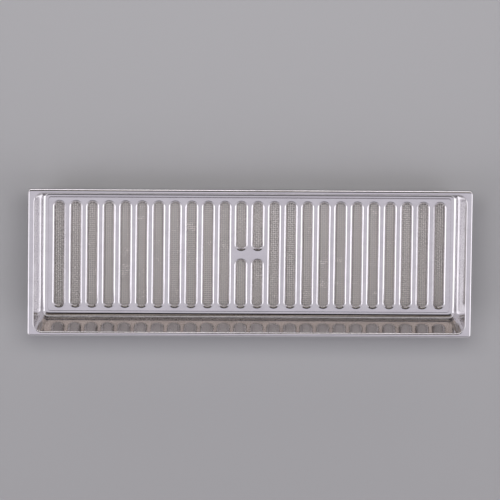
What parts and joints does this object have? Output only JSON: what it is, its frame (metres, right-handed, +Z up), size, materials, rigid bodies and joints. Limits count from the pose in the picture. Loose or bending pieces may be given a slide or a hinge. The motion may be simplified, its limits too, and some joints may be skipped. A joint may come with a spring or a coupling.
{
  "type": "baguette tray",
  "caption": "Shallow rectangular stainless baking tray with a flat rim, leaning walls and a slotted floor panel with dished round-ended slots over a woven wire mesh.",
  "frame": {"origin": "centre of the tray's underside, on the surface that it stands on", "axes": "+X along the tray's length, +Y across it, +Z up out of the mouth"},
  "size_m": [0.6, 0.206, 0.05],
  "materials": {
    "tray_sheet": "polished stainless sheet",
    "panel_sheet": "polished stainless sheet",
    "mesh_wire": "drawn stainless wire, satin",
    "strip_sheet": "mill-finish stainless strip",
    "weld_metal": "dull weld metal"
  },
  "bodies": {
    "root": {"tray_body": "tray_sheet", "slotted_panel": "panel_sheet", "mesh_long_wires": "mesh_wire", "mesh_cross_wires": "mesh_wire", "mesh_strip_back": "strip_sheet", "mesh_strip_front": "strip_sheet", "mesh_strip_left": "strip_sheet", "mesh_strip_right": "strip_sheet", "tack_welds": "weld_metal"}
  },
  "joints": []
}
